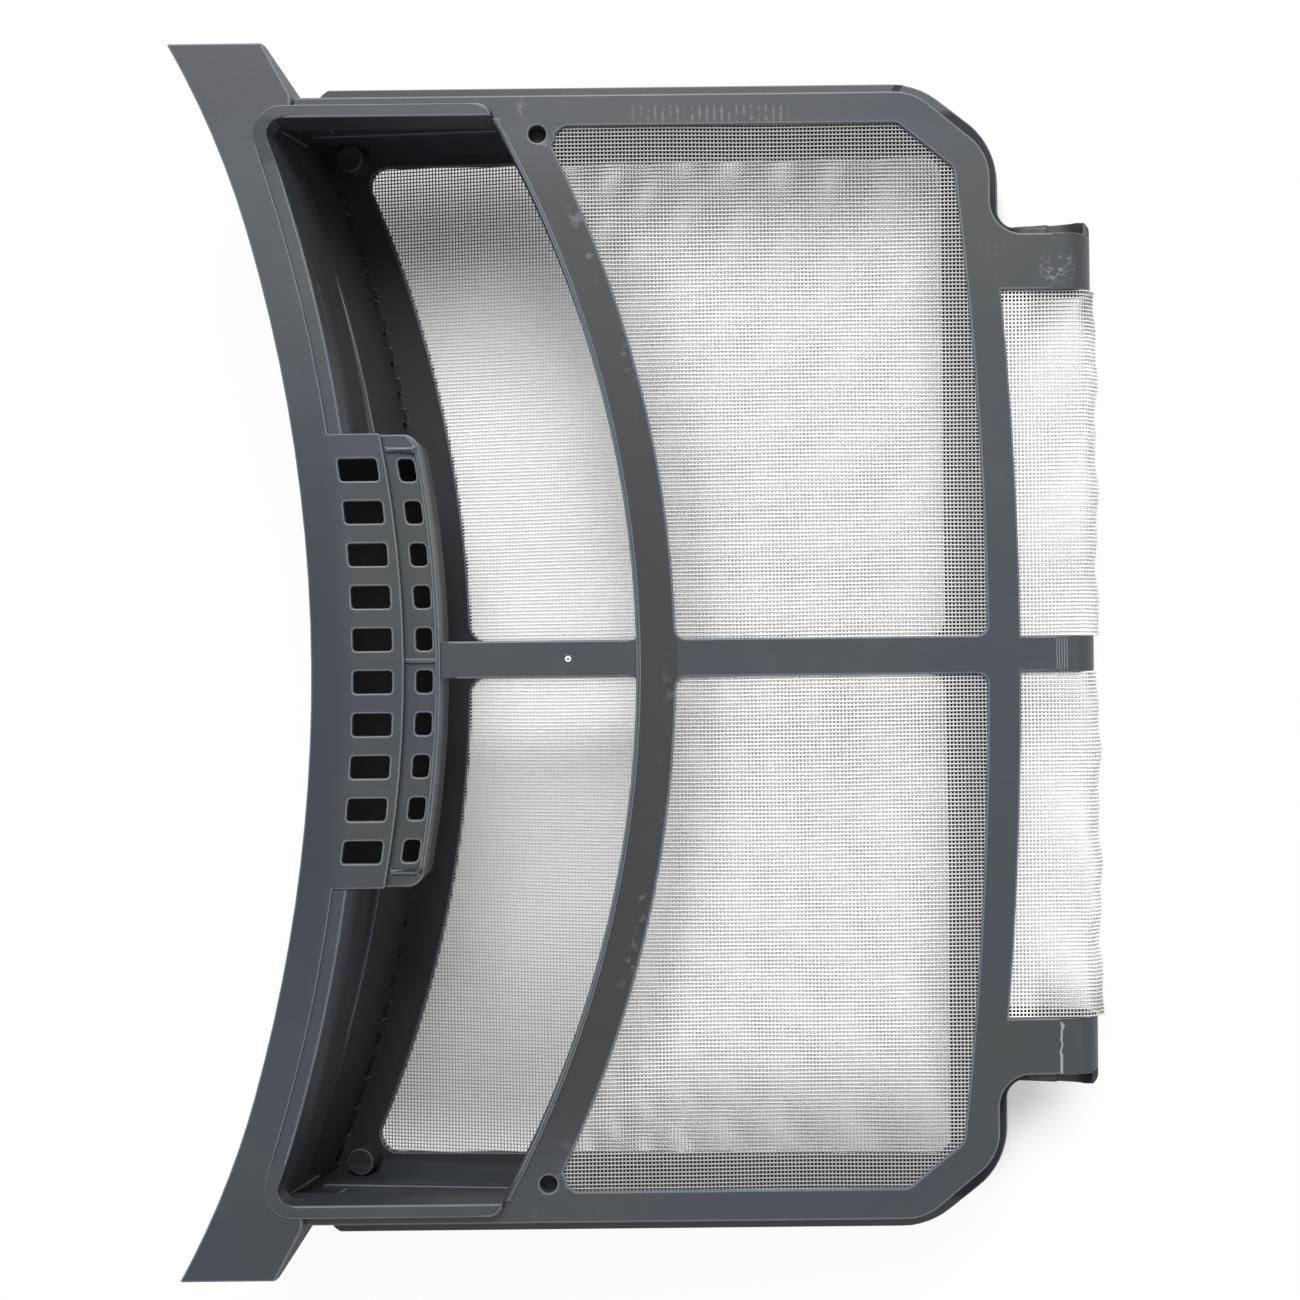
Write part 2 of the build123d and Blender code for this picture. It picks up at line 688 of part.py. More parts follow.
# Rear half: a flat tray with walls, rim, posts and slots along its end wall
with BuildPart() as rear_frame:
    with BuildSketch(rear):
        add(tray_plan)
        add(tray_inside, mode=Mode.SUBTRACT)
        with Locations((end_wall_x, 0)):
            Circle(end_wall_radius)
        add(tray_plan, mode=Mode.INTERSECT)
        with Locations((end_wall_x, 0)):
            Circle(end_wall_radius - wall, mode=Mode.SUBTRACT)
        Rectangle(4 * corner_start, 2 * (tray_tab - wall), mode=Mode.SUBTRACT)
    extrude(amount=tall)
    split(bisect_by=parting.offset(-parting_gap), keep=Keep.BOTTOM)
    with BuildSketch(rear):
        add(tray_plan)
        with Locations((-tray_edge / 2, 0)):
            Rectangle(tray_edge, 2 * rear_tab)
        with Locations((end_wall_x, 0)):
            Circle(end_wall_radius - wall, mode=Mode.SUBTRACT)
        add(notch, mode=Mode.SUBTRACT)
        add(rear_panels, mode=Mode.SUBTRACT)
    extrude(amount=plate)
    add(rim.part)
    with BuildSketch(rear.offset(plate)):
        for side in (1, -1):
            with Locations((-post_reach, side * post_half)):
                Circle(post_diameter / 2)
    extrude(amount=post_height)
    with BuildSketch(rear.offset(plate)):
        for start in (slot_start, -slot_end):
            with Locations((end_wall_x, 0)):
                with PolarLocations(end_wall_radius - wall / 2, slot_count, start, slot_end - slot_start):
                    Rectangle(2 * wall, slot_length)
    extrude(amount=slot_height, mode=Mode.SUBTRACT)
    add(rear_cloth, mode=Mode.SUBTRACT)
    add(hinge_cloth.part, mode=Mode.SUBTRACT)
    add(mirror(hinge_cloth.part, about=Plane.XZ, mode=Mode.PRIVATE), mode=Mode.SUBTRACT)

pieces = {
    "front_frame": front_frame.part,
    "front_mesh": front_cloth,
    "rear_frame": rear_frame.part,
    "rear_mesh": rear_cloth,
    "hinge_strap_upper": hinge_strap.part,
    "hinge_strap_middle": middle_strap,
    "hinge_strap_lower": mirror(hinge_strap.part, about=Plane.XZ),
    "hinge_mesh_upper": hinge_cloth.part,
    "hinge_mesh_lower": mirror(hinge_cloth.part, about=Plane.XZ),
}
for name, piece in pieces.items():
    piece.label = name
    export_step(piece, f"parts/{name}.step")
print("fold pivot", pivot_x, pivot_z)
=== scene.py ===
"""Looks of a folding tumble dryer lint filter: satin grey plastic, woven white cloth and a film hinge."""
import json
from math import cos, pi, radians, sin, sqrt, tan

import bmesh
import bpy
from mathutils import Matrix, Vector

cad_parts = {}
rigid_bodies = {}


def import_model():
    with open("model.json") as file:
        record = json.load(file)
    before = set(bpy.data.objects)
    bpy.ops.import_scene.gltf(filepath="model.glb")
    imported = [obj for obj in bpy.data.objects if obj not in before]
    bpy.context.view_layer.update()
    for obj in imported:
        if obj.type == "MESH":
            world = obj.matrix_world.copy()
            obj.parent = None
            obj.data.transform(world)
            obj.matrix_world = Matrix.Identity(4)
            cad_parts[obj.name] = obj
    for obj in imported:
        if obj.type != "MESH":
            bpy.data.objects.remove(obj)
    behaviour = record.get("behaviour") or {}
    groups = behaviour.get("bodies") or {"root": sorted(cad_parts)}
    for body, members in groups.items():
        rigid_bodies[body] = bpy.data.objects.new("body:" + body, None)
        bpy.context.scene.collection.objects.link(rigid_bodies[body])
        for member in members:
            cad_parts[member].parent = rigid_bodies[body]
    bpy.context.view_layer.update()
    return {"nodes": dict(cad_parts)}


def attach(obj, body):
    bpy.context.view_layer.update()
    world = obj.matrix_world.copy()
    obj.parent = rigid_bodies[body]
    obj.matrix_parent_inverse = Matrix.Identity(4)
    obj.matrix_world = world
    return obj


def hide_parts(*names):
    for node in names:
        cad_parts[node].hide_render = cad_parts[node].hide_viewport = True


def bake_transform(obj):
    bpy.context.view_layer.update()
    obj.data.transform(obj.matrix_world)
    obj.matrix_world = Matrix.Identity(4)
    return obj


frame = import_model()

bpy.ops.object.select_all(action="DESELECT")


# Rear half: a shallow tray, injection-moulded in dark grey polypropylene with a satin face.
# Its walls, rim, posts and slots are one shot, and its edges keep the small radius of the mould.
class Socket:
    """A socket of a material's node tree that can be used in plain sums."""

    def __init__(self, tree, socket=None):
        self.tree = tree
        self.socket = socket

    def node(self, kind, settings=None, inputs=None, output=0):
        made = self.tree.nodes.new(kind)
        for name, setting in (settings or {}).items():
            setattr(made, name, setting)
        for name, value in (inputs or {}).items():
            if isinstance(value, Socket):
                self.tree.links.new(value.socket, made.inputs[name])
            else:
                made.inputs[name].default_value = value
        return Socket(self.tree, made.outputs[output])

    def maths(self, operation, *values):
        return self.node("ShaderNodeMath", {"operation": operation}, dict(enumerate(values)))

    def __add__(self, other):
        return self.maths("ADD", self, other)

    def __sub__(self, other):
        return self.maths("SUBTRACT", self, other)

    def __rsub__(self, other):
        return self.maths("SUBTRACT", other, self)

    def __mul__(self, other):
        return self.maths("MULTIPLY", self, other)

    __radd__ = __add__
    __rmul__ = __mul__

    def between(self, low, high):
        """0 below low, 1 above high and smooth between them."""
        settings = {"interpolation_type": "SMOOTHSTEP"}
        return self.node("ShaderNodeMapRange", settings, {"Value": self, "From Min": low, "From Max": high})

    def within(self, low, high, soft):
        """1 between low and high, fading over soft at both ends."""
        return self.between(low - soft, low + soft) * (1 - self.between(high - soft, high + soft))

    def most(self, other):
        return self.maths("MAXIMUM", self, other)

    def size(self):
        return self.maths("ABSOLUTE", self)

    def wave(self):
        return self.maths("SINE", self)

    def distance(self, other):
        """Length of the line whose two sides are self and other."""
        return self.maths("SQRT", self * self + other * other)

    def parts(self):
        """The x, y and z of a place."""
        return [self.node("ShaderNodeSeparateXYZ", inputs={"Vector": self}, output=k) for k in range(3)]

    def noise(self, scale, detail):
        return self.node("ShaderNodeTexNoise", inputs={"Vector": self, "Scale": scale, "Detail": detail})


def new_material(name):
    """An empty material: its tree as a socket maker, its shader and its output joined."""
    material = bpy.data.materials.new(name)
    material.use_nodes = True
    tree = material.node_tree
    return material, Socket(tree), tree.nodes["Principled BSDF"]


def mix_colour(share, first, second):
    """Second colour over the first by share."""
    settings = {"data_type": "RGBA"}
    return share.node("ShaderNodeMix", settings, {0: share, 6: first, 7: second}, output=2)


def satin_grey(name, lift=1.0, marks=(), inside_shade=None):
    """Satin plastic with a fine grain and faint blotches, lighter by lift, with marks, some of them painted
    shade, and painted shade that darkens and dulls its inside.
    """
    material, make, shader = new_material(name)
    place = make.node("ShaderNodeTexCoord", output=3)
    grain = place.noise(1600.0, 3.0)
    haze = place.noise(90.0, 5.0)
    blue_grey = (0.031 * lift, 0.036 * lift, 0.046 * lift, 1)
    green_grey = (0.035 * lift, 0.039 * lift, 0.041 * lift, 1)
    dusty_grey = (0.056 * lift, 0.059 * lift, 0.062 * lift, 1)
    tone = mix_colour(place.noise(22.0, 2.0).between(0.38, 0.62), green_grey, blue_grey)
    tone = mix_colour(haze.between(0.52, 0.80) * 0.30, tone, dusty_grey)
    for mark, colour in marks:
        tone = mix_colour(mark(place), tone, colour)
    rough = grain * 0.10 + haze * 0.12 + 0.33
    if inside_shade:
        # Painted shade: the inside is mixed towards near black and made rougher.
        share = inside_shade(place)
        tone = mix_colour(share, tone, (0.004, 0.004, 0.0045, 1))
        rough = rough + share * 0.55
    make.tree.links.new(tone.socket, shader.inputs["Base Color"])
    shader.inputs["Specular IOR Level"].default_value = 0.38
    make.tree.links.new(rough.socket, shader.inputs["Roughness"])
    bump = make.node("ShaderNodeBump", inputs={"Strength": 0.12, "Distance": 0.0001, "Height": grain})
    make.tree.links.new(bump.socket, shader.inputs["Normal"])
    return material


# Painted highlight: a paler copy of the plastic for the rounded edges, in place of the light they catch.
edge_highlight = satin_grey("painted_edge_highlight", lift=3.2)


def moulded(node, name, edge_radius, rise, seams, body):
    """A copy of a moulded piece with rounded edges in a paler material, a painted highlight; low steps along
    rise get less, seams none.
    """
    bpy.ops.object.select_all(action="DESELECT")
    source = frame["nodes"][node]
    source.select_set(True)
    bpy.context.view_layer.objects.active = source
    bpy.ops.object.duplicate()
    piece = bpy.context.view_layer.objects.active
    piece.name = name
    bpy.ops.object.parent_clear(type="CLEAR_KEEP_TRANSFORM")
    for key in list(piece.keys()):
        del piece[key]
    bpy.ops.mesh.customdata_custom_splitnormals_clear()
    piece.data.materials.clear()
    piece.data.materials.append(body)
    piece.data.materials.append(edge_highlight)
    bpy.ops.object.mode_set(mode="EDIT")
    bpy.ops.mesh.select_all(action="SELECT")
    bpy.ops.mesh.remove_doubles(threshold=0.000002)
    bpy.ops.mesh.beautify_fill(angle_limit=radians(1))
    bpy.ops.mesh.select_all(action="DESELECT")
    mesh = bmesh.from_edit_mesh(piece.data)
    weight = mesh.edges.layers.float.new("bevel_weight_edge")
    least_turn = radians(28)
    seam_slack = 0.00006
    level_slack = 0.00002
    for edge in mesh.edges:
        if not edge.is_manifold or not edge.is_convex or edge.calc_face_angle() < least_turn:
            continue
        ends = [corner.co for corner in edge.verts]
        if any(all(abs((end - point).dot(normal)) < seam_slack for end in ends) for point, normal in seams):
            continue
        room = 2 * edge_radius
        for face in edge.link_faces:
            heights = [corner.co.dot(rise) for corner in face.verts]
            height = max(heights) - min(heights)
            if height > level_slack:
                room = min(room, height)
        edge[weight] = room / (2 * edge_radius)
    bmesh.update_edit_mesh(piece.data)
    bpy.ops.object.mode_set(mode="OBJECT")
    rounding = piece.modifiers.new("rounding", "BEVEL")
    rounding.limit_method = "WEIGHT"
    rounding.width = edge_radius
    rounding.segments = 2
    rounding.loop_slide = False
    rounding.use_clamp_overlap = False
    # The rounded faces take the second material, the painted edge highlight.
    rounding.material = 1
    rounding.face_strength_mode = "FSTR_ALL"
    bpy.ops.object.modifier_apply(modifier="rounding")
    bpy.ops.object.shade_smooth_by_angle(angle=radians(40))
    flats = piece.modifiers.new("flats", "WEIGHTED_NORMAL")
    flats.keep_sharp = True
    flats.use_face_influence = True
    bpy.ops.object.modifier_apply(modifier="flats")
    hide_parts(node)
    return piece


rear_crease = 0.09209  # where the tray floor meets the hinge straps
upright = Vector((0, 0, 1))
rear_seam = (Vector((rear_crease, 0, 0)), Vector((1, 0, 0)))


def tray_inside_shade(place):
    """Painted shade: the walls and floor inside the tray are darkened and dull."""
    x, y, z = place.parts()
    inside = x.within(-0.086, 0.086, 0.001) * y.within(-0.1275, 0.1275, 0.001)
    return inside * z.within(0.0006, 0.0280, 0.0003) * 0.60


# The tray's plastic carries this painted shade inside it.
satin_tray = satin_grey("satin_tray", inside_shade=tray_inside_shade)
rear_half = moulded("rear_frame", "rear_tray", 0.00025, upright, [rear_seam], satin_tray)
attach(rear_half, "rear_half")

# Rear cloth: one sheet of white monofilament plain weave, moulded into the tray floor.
# About thirty threads to the inch; each thread is drawn, and runs a little into the plastic.
thread_radius = 0.000165
pitch_along = 0.000853  # spacing of the threads that cross the half from side to side
pitch_across = 0.000873
tuck = 0.0015  # length of a thread end inside the plastic
sway = 0.00012  # how far a thread drifts to the side
straight = 0.008  # length of thread between two bends
shortest = 0.002  # threads under this length are left out of the corners


def white_weave(name, cloth_shade):
    """White nylon thread, a little worn all over, and greyer by painted shade where the mask tells."""
    material, make, shader = new_material(name)
    place = make.node("ShaderNodeTexCoord", output=3)
    clean_white = (0.96, 0.96, 0.955, 1)
    worn_white = (0.90, 0.90, 0.885, 1)
    tone = mix_colour(place.noise(35.0, 4.0).between(0.45, 0.75), clean_white, worn_white)
    # Painted shade: the thread is mixed towards grey by the mask.
    tone = mix_colour(cloth_shade(place), tone, (0.25, 0.25, 0.25, 1))
    make.tree.links.new(tone.socket, shader.inputs["Base Color"])
    rough = place.noise(1200.0, 2.0) * 0.2 + 0.35
    make.tree.links.new(rough.socket, shader.inputs["Roughness"])
    return material


def tray_cloth_shade(place):
    """Painted shade: greys the cloth behind the inlet towards both sides, and the hinge cloth at its ends.
    """
    x, y, _ = place.parts()
    upper = y.between(0.050, 0.126) * 0.65
    lower = (0 - y).between(0.000, 0.120) * 0.80
    folds = x.between(0.0860, 0.0900) * y.size().between(0.0700, 0.0850) * 0.5
    inlet = 1 - x.between(-0.022, 0.004)
    return upper.most(lower) * inlet + folds


tray_weave = white_weave("tray_weave", tray_cloth_shade)


def threads(name, lines, material, sides=6):
    """One mesh of thin round threads, each along its own line of points."""
    verts = []
    faces = []
    for line in lines:
        for number, point in enumerate(line):
            before = line[max(number - 1, 0)]
            after = line[min(number + 1, len(line) - 1)]
            ahead = (after - before).normalized()
            side = ahead.cross(Vector((0, 0, 1)) if abs(ahead.z) < 0.9 else Vector((0, 1, 0))).normalized()
            up = side.cross(ahead)
            base = len(verts)
            for corner in range(sides):
                turn = 2 * pi * corner / sides
                verts.append(point + thread_radius * (cos(turn) * side + sin(turn) * up))
            if number:
                last = base - sides
                for corner in range(sides):
                    following = (corner + 1) % sides
                    faces.append((last + corner, last + following, base + following, base + corner))
        first = len(verts) - sides * len(line)
        faces.append(tuple(range(first + sides - 1, first - 1, -1)))
        faces.append(tuple(range(len(verts) - sides, len(verts))))
    mesh = bpy.data.meshes.new(name)
    mesh.from_pydata(verts, [], faces)
    piece = bpy.data.objects.new(name, mesh)
    bpy.context.scene.collection.objects.link(piece)
    bpy.ops.object.select_all(action="DESELECT")
    piece.select_set(True)
    bpy.context.view_layer.objects.active = piece
    bpy.ops.object.mode_set(mode="EDIT")
    bpy.ops.mesh.select_all(action="SELECT")
    bpy.ops.mesh.normals_make_consistent(inside=False)
    bpy.ops.object.mode_set(mode="OBJECT")
    bpy.ops.object.shade_smooth_by_angle(angle=radians(65))
    piece.data.materials.append(material)
    return piece


def swayed(start, end, across, phase):
    """A thread from start to end that drifts a little to the side, as woven cloth does."""
    count = max(2, round((end - start).length / straight))
    line = []
    for number in range(count + 1):
        point = start.lerp(end, number / count)
        slow = sin(61 * point.x + 37 * point.y + phase)
        quick = sin(149 * point.x - 113 * point.y + 2 * phase)
        line.append(point + sway * (slow + 0.4 * quick) * across)
    return line


def steps(low, high, pitch):
    """Evenly spaced places between low and high, one of them at zero."""
    first = int(low / pitch) - 1
    last = int(high / pitch) + 1
    return [pitch * k for k in range(first, last + 1) if low < pitch * k < high]


rear_level = 0.0012
rear_arc = 0.295  # curved strip-side edge of the tray's mesh openings
rear_arc_reach = 0.1444
rear_edge = 0.0251
rear_side = 0.1194
rear_flare = 0.0438
rear_sag = 0.03  # how far the curved edge falls back at the sides
rear_corner = 0.126


def rear_left(y):
    return -rear_arc_reach - rear_arc + sqrt((rear_arc - tuck) ** 2 - y**2)


lines = []
rear_half_width = rear_side + rear_flare * (rear_arc_reach + rear_sag - rear_edge) + tuck
for y in steps(-rear_half_width, rear_half_width, pitch_across):
    start = rear_left(y)
    if abs(y) > rear_side + tuck:
        end = -rear_edge - (abs(y) - rear_side - tuck) / rear_flare
    else:
        end = tuck - rear_edge
    if end - start > shortest:
        level = rear_level + thread_radius
        ends = [Vector((rear_crease + x, y, level)) for x in (start, end)]
        lines.append(swayed(*ends, Vector((0, 1, 0)), 1.0))
for x in steps(rear_left(rear_corner), tuck - rear_edge, pitch_along):
    reach = rear_side + rear_flare * max(0.0, -rear_edge - x) + tuck
    level = rear_level - thread_radius
    bulge = rear_arc - tuck
    inner = bulge**2 - (x + rear_arc_reach + rear_arc) ** 2
    spans = [(-reach, reach)]
    if inner > 0:
        spans = [(-reach, -sqrt(inner)), (sqrt(inner), reach)]
    for low, high in spans:
        if high - low > shortest:
            ends = [Vector((rear_crease + x, y, level)) for y in (low, high)]
            lines.append(swayed(*ends, Vector((1, 0, 0)), 2.5))
rear_cloth = threads("rear_cloth", lines, tray_weave)
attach(rear_cloth, "rear_half")
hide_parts("rear_mesh")

# Front half: frame, curved member, inlet collar and handle strip, moulded as one with its grip block.
# Same plastic as the tray, a little more handled, with painted shade on its member, strip and upper band and
# in its pocket and inlet.
wedge = radians(13.5)
front_crease = Vector((0.09384, 0, 0.01481))
front_along = Vector((cos(wedge), 0, -sin(wedge)))
front_normal = Vector((sin(wedge), 0, cos(wedge)))
front_seam = (front_crease, front_along)
crease_along = 0.0878  # from the middle of the frame to the crease, along the half
face_height = 0.0363  # of the face over the middle of the frame, square to it
member_centre = 0.357  # centre of the curved member's arc, back from the crease
member_outer = 0.2692
member_width = 0.0078
panel_centre = 0.4445  # centre of the outer panel's arc, back from the middle of the frame
panel_radius = 0.372
block_centre = 0.417  # centre of the grip block's arc, back from the crease
pocket_radius = 0.2737


def spot(place):
    """Distance along the front half and across it, as two sockets."""
    x, y, z = place.parts()
    return x * cos(wedge) - z * sin(wedge), y


def weave_prints(place):
    """Pale prints that the cloth left in the face: a comb of ticks, two patches and a ragged seam."""
    along, y = spot(place)
    ragged = place.noise(420.0, 3.0)
    patchy = place.noise(60.0, 2.0)
    comb = (along * (2 * pi / 0.0017) + ragged * 3.0).wave().between(0.3, 0.9)
    ticks = comb * along.within(-0.0085, 0.0270, 0.002) * y.within(0.1234, 0.1270, 0.0007)
    rungs = (y * (2 * pi / 0.00175) + ragged * 5.0).wave().between(0.3, 0.9)
    lattice = comb.most(rungs) * ragged.between(0.42, 0.58) * patchy.between(0.35, 0.60)
    patches = along.within(0.0638, 0.0692, 0.001) * y.within(0.1078, 0.1170, 0.002)
    patches = patches + 0.7 * along.within(0.0705, 0.0785, 0.002) * y.within(0.0865, 0.0965, 0.002)
    radius = (along + (member_centre - crease_along)).distance(y)
    edge = radius.within(member_outer - 0.0032, member_outer - 0.0003, 0.0005)
    seam = edge * patchy.between(0.50, 0.62) * ragged.between(0.48, 0.60)
    return ticks * ragged.between(0.38, 0.56) * 0.26 + patches * lattice * 0.10 + seam * 0.22


def member_shade(place):
    """Painted shade on the curved member: it is darker than the faces around it, in place of a darker
    reflection.
    """
    along, y = spot(place)
    radius = (along + (member_centre - crease_along)).distance(y)
    face = radius.within(member_outer - member_width, member_outer + 0.0003, 0.0004)
    return face * y.within(-0.1120, 0.1120, 0.012)


def strip_shade(place):
    """Painted shade: the handle strip's middle and wings, and the upper band of the frame, are darker and
    bluer.
    """
    x, y, _ = place.parts()
    strip = 1 - (x + panel_centre).distance(y).between(panel_radius + 0.0050, panel_radius + 0.0105)
    middle = strip * y.within(-0.080, 0.060, 0.030) * 0.75
    wings = (1 - x.between(-0.078, -0.066)) * y.size().between(0.110, 0.134) * 0.50
    band = y.between(0.120, 0.127) * 0.45
    return middle.most(wings).most(band)


def gate_scar(place):
    """White ring where the gate of the mould was cut off."""
    along, y = spot(place)
    return (along - gate_along).distance(y).within(0.0003, 0.0008, 0.0001)


def stress_lines(place):
    """Pale stress lines along the fold: a jagged one below, a few in the middle, scribbles above."""
    along, y = spot(place)
    jag = place.noise(330.0, 1.0) - 0.5
    bent = along + jag * 0.0024 * y.within(-0.0925, -0.0840, 0.001)
    below = bent.within(0.0875, 0.0881, 0.0001) * y.within(-0.1000, -0.0850, 0.0005)
    lines = (along * (2 * pi / 0.00058) + jag * 2.0).wave().between(0.4, 0.95)
    middle = lines * along.within(0.0874, 0.0904, 0.0003) * y.within(-0.0036, 0.0036, 0.0004)
    scribble = place.noise(460.0, 2.0).within(0.50, 0.54, 0.02) * along.within(0.0850, 0.0925, 0.0015)
    above = scribble * y.within(0.0860, 0.0915, 0.0015)
    return below * 0.9 + middle * 0.7 + above * 0.5


def front_inside_shade(place):
    """Painted shade: the finger pocket is nearly black inside, and the inlet's walls are darkened and dull
    below the face.
    """
    along, _ = spot(place)
    x, y, z = place.parts()
    depth = face_height - x * sin(wedge) - z * cos(wedge)
    behind = (x + panel_centre).distance(y).between(panel_radius + 0.0008, panel_radius + 0.0020)
    radius = (along + (block_centre - crease_along)).distance(y)
    before = 1 - radius.between(pocket_radius - 0.0005, pocket_radius + 0.0005)
    pocket = before * depth.within(0.0012, 0.0184, 0.0006) * y.within(-0.0500, 0.0500, 0.0005)
    inlet = depth.between(0.002, 0.012) * y.within(-0.1270, 0.1270, 0.0005)
    inlet = inlet * (1 - along.between(0.0290, 0.0310))
    return behind * pocket.most(inlet * 0.50)


gate_along = -0.0249
# dark_grey and dark_blue are the colours of painted shade on the member and the strip.
dark_grey = (0.018, 0.020, 0.022, 1)
dark_blue = (0.014, 0.018, 0.028, 1)
pale_grey = (0.30, 0.305, 0.31, 1)
scar_white = (0.85, 0.86, 0.86, 1)
# The first two marks are painted shade; the prints, the gate scar and the stress lines are real marks.
front_marks = [(member_shade, dark_grey), (strip_shade, dark_blue), (weave_prints, pale_grey)]
front_marks += [(gate_scar, scar_white), (stress_lines, pale_grey)]
marked_and_shaded_plastic = satin_grey("marked_and_shaded_front", marks=front_marks, inside_shade=front_inside_shade)
front_half = moulded("front_frame", "front_grip_frame", 0.00045, front_normal, [front_seam], marked_and_shaded_plastic)
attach(front_half, "front_half")

# Front cloth: the same weave, moulded into the middle of the front frame's thickness.
# It is one sheet behind the cross bar, with two corners cut off beside the peg holes.
front_level = -0.0012
front_start = -0.120
bow_centre = 0.966
bow = 0.950
opening_half = 0.1228
slant_start = 0.0355
slant = radians(39.3)
peg_cut = 0.1124  # the corners beside the peg holes are cut off from here
peg_slope = radians(41)
peg_tuck = 0.0003


def on_front(along, y, level):
    return front_crease + along * front_along + level * front_normal + Vector((0, y, 0))


def front_cloth_shade(place):
    """Painted shade: the front cloth is greyest at its upper and lower edge, and white only in the middle.
    """
    along, y = spot(place)
    upper = y.between(0.078, 0.124) * 0.85
    lower = (0 - y).between(0.080, 0.124) * 0.88
    right = (along + (bow_centre - crease_along)).distance(y).between(bow - 0.018, bow) * 0.65
    radius = (along + (member_centre - crease_along)).distance(y)
    left = 0.55 - radius.between(member_outer, member_outer + 0.020) * 0.55
    return upper.most(lower).most(right.most(left))


front_weave = white_weave("front_weave", front_cloth_shade)
lines = []
top = opening_half + tuck
for y in steps(-top, top, pitch_across):
    start = -member_centre + sqrt((member_outer - tuck) ** 2 - y**2)
    start = max(start, -peg_cut - (opening_half - abs(y)) / tan(peg_slope) - peg_tuck / sin(peg_slope))
    end = -bow_centre + sqrt((bow + tuck) ** 2 - y**2)
    end = min(end, -slant_start + (opening_half - abs(y)) / tan(slant) + tuck / sin(slant))
    level = front_level + thread_radius
    ends = [on_front(along, y, level) for along in (start, end)]
    lines.append(swayed(*ends, Vector((0, 1, 0)), 4.0))
for along in steps(front_start, bow + tuck - bow_centre, pitch_along):
    reach = min(top, opening_half - (along + slant_start) * tan(slant) + tuck / cos(slant))
    reach = min(reach, opening_half + (along + peg_cut) * tan(peg_slope) + peg_tuck / cos(peg_slope))
    bowed = (bow + tuck) ** 2 - (along + bow_centre) ** 2
    reach = min(reach, sqrt(bowed))
    inner = (member_outer - tuck) ** 2 - (along + member_centre) ** 2
    spans = [(-reach, reach)]
    if inner > 0:
        spans = [(-reach, -sqrt(inner)), (sqrt(inner), reach)]
    level = front_level - thread_radius
    for low, high in spans:
        if high - low > shortest:
            ends = [on_front(along, y, level) for y in (low, high)]
            lines.append(swayed(*ends, front_along, 5.5))
front_cloth = threads("front_cloth", lines, front_weave)
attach(front_cloth, "front_half")
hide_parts("front_mesh")

# Film hinge: three thin straps of the same plastic that bend each time the filter is opened.
# Pale stress lines run along the folds.
stressed_plastic = satin_grey("stressed_strap", marks=[(stress_lines, pale_grey)])
for name in ("upper", "middle", "lower"):
    seams = [rear_seam, front_seam]
    strap = moulded(f"hinge_strap_{name}", f"bent_strap_{name}", 0.0002, upright, seams, stressed_plastic)
    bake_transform(strap)

# Hinge cloth: the weave carries on round the fold between the straps and bulges a little past them.
# Each length of it is drawn round the fold, as the straps are, and its free edge is not quite even.
bulge_radius = 0.00569
bulge_centre = Vector((0.09728, 0, 0.00689))
hinge_tuck = 0.0139  # how far the hinge cloth runs into each half
strap_inner = 0.0840
middle_strap = 0.0041
long_ripple = 0.029
short_ripple = 0.0123
bends_round = 60
bends_across = 36


def round_hinge(way, y):
    """Point on the cloth at a way round the fold from the front half to the rear half; it waves a little."""
    angle = min(max((way - hinge_front_end) / bulge_radius, 0.0), pi - wedge)
    wave = 0.00035 * sin(2 * pi * y / long_ripple) + 0.00025 * sin(2 * pi * y / short_ripple + 1.0)
    outward = cos(angle) * front_normal + sin(angle) * front_along
    point = bulge_centre + (bulge_radius + wave * sin(angle) ** 2) * outward + Vector((0, y, 0))
    if way < hinge_front_end:
        point -= (hinge_front_end - way) * front_along
    past = way - hinge_front_end - bulge_radius * (pi - wedge)
    if past > 0:
        point.x -= past
    return point


hinge_front_end = (bulge_centre - front_crease).dot(front_along) + hinge_tuck
hinge_length = hinge_front_end + bulge_radius * (pi - wedge) + bulge_centre.x - rear_crease + hinge_tuck
for name, side in (("upper", 1), ("lower", -1)):
    lines = []
    low, high = sorted((side * middle_strap, side * strap_inner))
    for y in steps(low, high, pitch_across):
        lines.append([round_hinge(hinge_length * k / bends_round, y) for k in range(bends_round + 1)])
    for way in steps(0.0, hinge_length, pitch_along):
        line = []
        for k in range(bends_across + 1):
            point = round_hinge(way, low + (high - low) * k / bends_across)
            inward = bulge_centre - point
            inward.y = 0
            line.append(point + inward.normalized() * 2 * thread_radius)
        lines.append(line)
    cloth = threads(f"hinge_cloth_{name}", lines, tray_weave)
    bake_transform(cloth)
    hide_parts(f"hinge_mesh_{name}")
    high - low

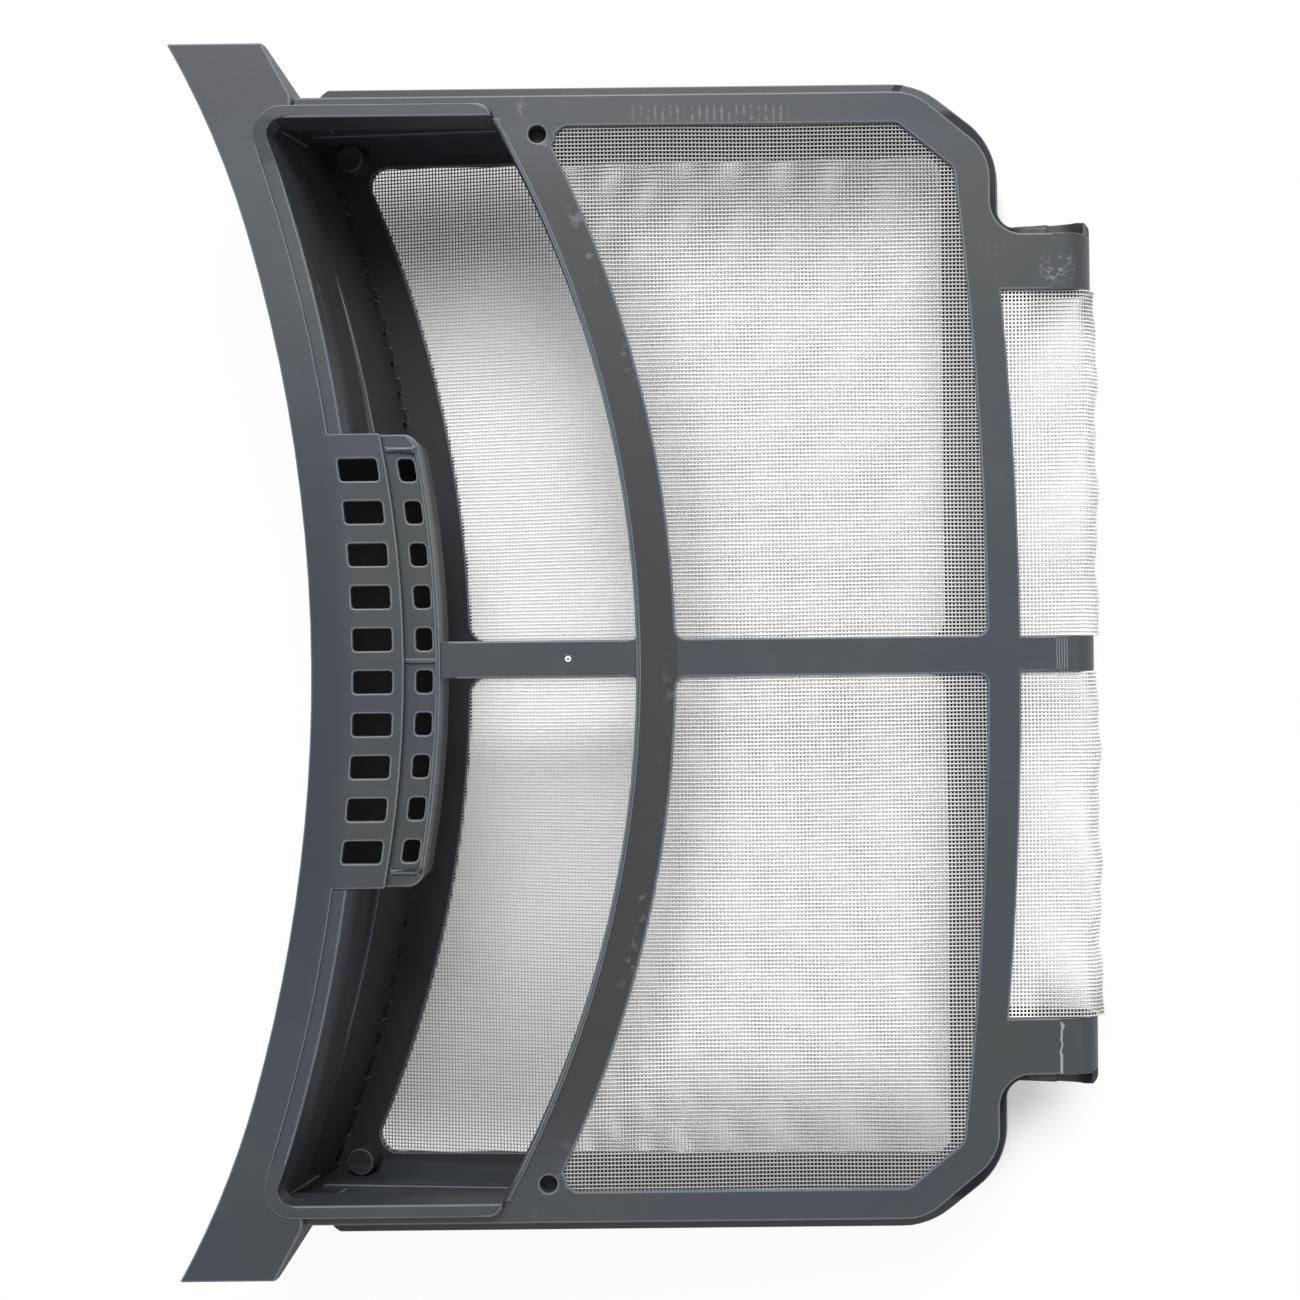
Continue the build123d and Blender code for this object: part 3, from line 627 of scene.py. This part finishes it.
# Table and light: a white sweep under large soft boxes.
# The white of the room is seen by the camera and in the gloss of the plastic.
bpy.ops.mesh.primitive_plane_add(size=4.0, location=(0, 0, -0.0003))
table = bpy.context.object
table.name = "white_table"
bpy.ops.object.transform_apply(location=True, rotation=True, scale=True)
paper, make, shader = new_material("white_paper")
shader.inputs["Base Color"].default_value = (0.9, 0.9, 0.9, 1)
shader.inputs["Roughness"].default_value = 0.9
glow = make.node("ShaderNodeEmission", inputs={"Color": (1, 1, 1, 1), "Strength": 1.0})
sight = make.node("ShaderNodeLightPath", output=0)
lit = Socket(make.tree, shader.outputs[0])
place = make.node("ShaderNodeTexCoord", output=3)
x, y, _ = place.parts()
under = x.within(-0.085, 0.092, 0.010) * y.within(-0.120, 0.120, 0.010)
white = make.node("ShaderNodeMixShader", inputs={0: sight * (0.95 - 0.57 * under), 1: lit, 2: glow})
make.tree.links.new(white.socket, make.tree.nodes["Material Output"].inputs["Surface"])
table.data.materials.append(paper)

room = bpy.data.worlds.new("white_room")
room.use_nodes = True
bpy.context.scene.world = room
make = Socket(room.node_tree)
sight = make.node("ShaderNodeLightPath", output=0)
background = room.node_tree.nodes["Background"]
background.inputs["Color"].default_value = (1, 1, 1, 1)
gloss = Socket(make.tree, sight.socket.node.outputs[3])
strength = sight.most(gloss) * 0.94 + 0.06
make.tree.links.new(strength.socket, background.inputs["Strength"])

for name, where, size, power in (
    ("key_box", (0.20, 1.05, 1.25), 0.85, 35.0),
    ("left_box", (-0.75, 0.0, 0.85), 0.5, 2.0),
    ("right_box", (1.00, 0.0, 0.75), 0.5, 2.0),
    ("low_box", (0.15, -0.75, 0.85), 0.5, 2.0),
):
    lamp = bpy.data.lights.new(name, "AREA")
    lamp.size = size
    lamp.energy = power
    holder = bpy.data.objects.new(name, lamp)
    holder.location = where
    holder.rotation_euler = (-Vector(where)).to_track_quat("-Z", "Y").to_euler()
    bpy.context.scene.collection.objects.link(holder)

# Camera: square to the front half and about half a metre away.
# It is turned by under a degree, as the filter lies a little askew.
lens = bpy.data.cameras.new("packshot_camera")
lens.sensor_width = 36.0
lens.lens = 57.7
camera = bpy.data.objects.new("packshot_camera", lens)
aim = Vector((0.00263, 0.00185, 0.0367))
camera_distance = 0.480
camera.location = aim + camera_distance * front_normal
roll = radians(0.63)
up = Vector((0, 1, 0)) * cos(roll) + front_along * sin(roll)
back = front_normal
right = up.cross(back).normalized()
up = back.cross(right)
camera.rotation_euler = Matrix((right, up, back)).transposed().to_euler()
bpy.context.scene.collection.objects.link(camera)
bpy.context.scene.camera = camera
bpy.context.scene.view_settings.view_transform = "Standard"
